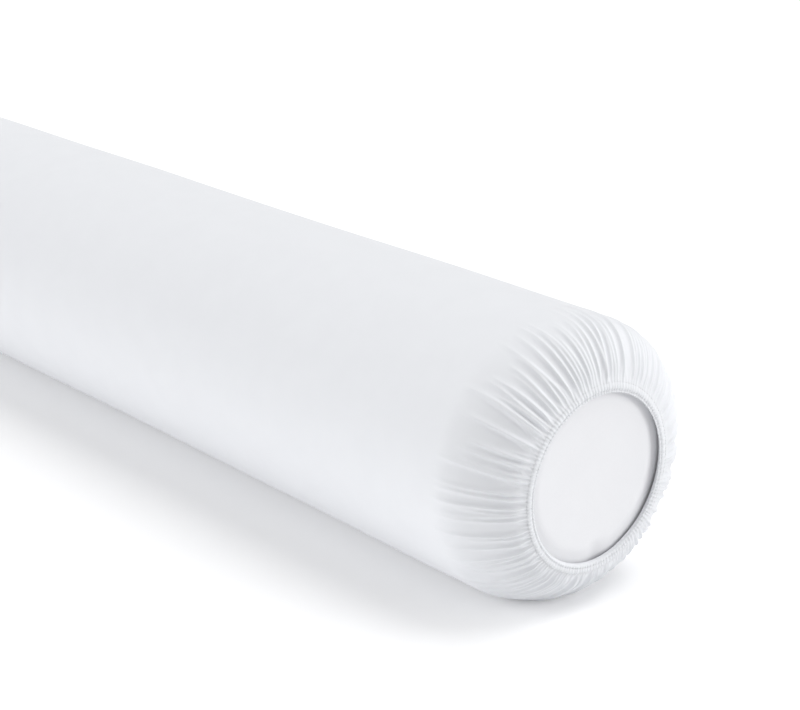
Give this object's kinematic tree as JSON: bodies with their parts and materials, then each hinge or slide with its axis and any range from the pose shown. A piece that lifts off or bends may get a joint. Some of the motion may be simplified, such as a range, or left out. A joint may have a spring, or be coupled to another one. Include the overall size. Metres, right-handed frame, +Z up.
{
  "type": "bolster pillow",
  "caption": "Round foam bolster in a fitted knitted cover, its hems drawn in by elastic over rounded shoulders, with a zipped inner case.",
  "frame": {"origin": "under the middle of the bolster, on the flat of its underside", "axes": "+X along the bolster towards its near end, +Y towards its back, +Z up"},
  "size_m": [0.6614, 0.1524, 0.1488],
  "materials": {
    "jersey": "brushed cotton jersey, white",
    "elastic": "braided elastic, white",
    "thread": "polyester thread, white",
    "case_cloth": "fine woven cotton, white",
    "zip_tape": "woven polyester tape, white",
    "zip_coil": "moulded nylon coil, white",
    "zip_metal": "satin nickel-plated",
    "wadding": "polyester wadding, white",
    "foam": "open-cell polyurethane foam, cream"
  },
  "bodies": {
    "inner_bolster": {"foam_core": "foam", "wadding_wrap": "wadding", "wadding_end_near": "wadding", "wadding_end_far": "wadding", "case_wrap": "case_cloth", "case_end_near": "case_cloth", "case_end_far": "case_cloth", "case_seam_near": "thread", "case_seam_far": "thread", "zip_tape_upper": "zip_tape", "zip_tape_lower": "zip_tape", "zip_coil_upper": "zip_coil", "zip_coil_lower": "zip_coil", "zip_stitch_upper": "thread", "zip_stitch_lower": "thread", "zip_stop_near": "zip_metal", "zip_stop_far": "zip_metal"},
    "cover": {"cover_sleeve": "jersey", "cover_gather_near": "jersey", "cover_gather_far": "jersey", "cover_side_seam": "thread", "hem_elastic_near": "elastic", "hem_elastic_far": "elastic", "hem_stitch_inner_near": "thread", "hem_stitch_outer_near": "thread", "hem_stitch_inner_far": "thread", "hem_stitch_outer_far": "thread"},
    "zip_slider": {"zip_slider": "zip_metal"}
  },
  "joints": [
    {"name": "cover_pull_off", "type": "slide", "parent": "inner_bolster", "child": "cover", "axis": [-1, 0, 0], "range_m": [0, 0.7], "deforming": ["cover_sleeve", "cover_gather_near", "cover_gather_far", "hem_elastic_near", "hem_elastic_far", "hem_stitch_inner_near", "hem_stitch_outer_near", "hem_stitch_inner_far", "hem_stitch_outer_far"]},
    {"name": "zip_slide", "type": "slide", "parent": "inner_bolster", "child": "zip_slider", "axis": [-1, 0, 0], "range_m": [0, 0.438]}
  ]
}
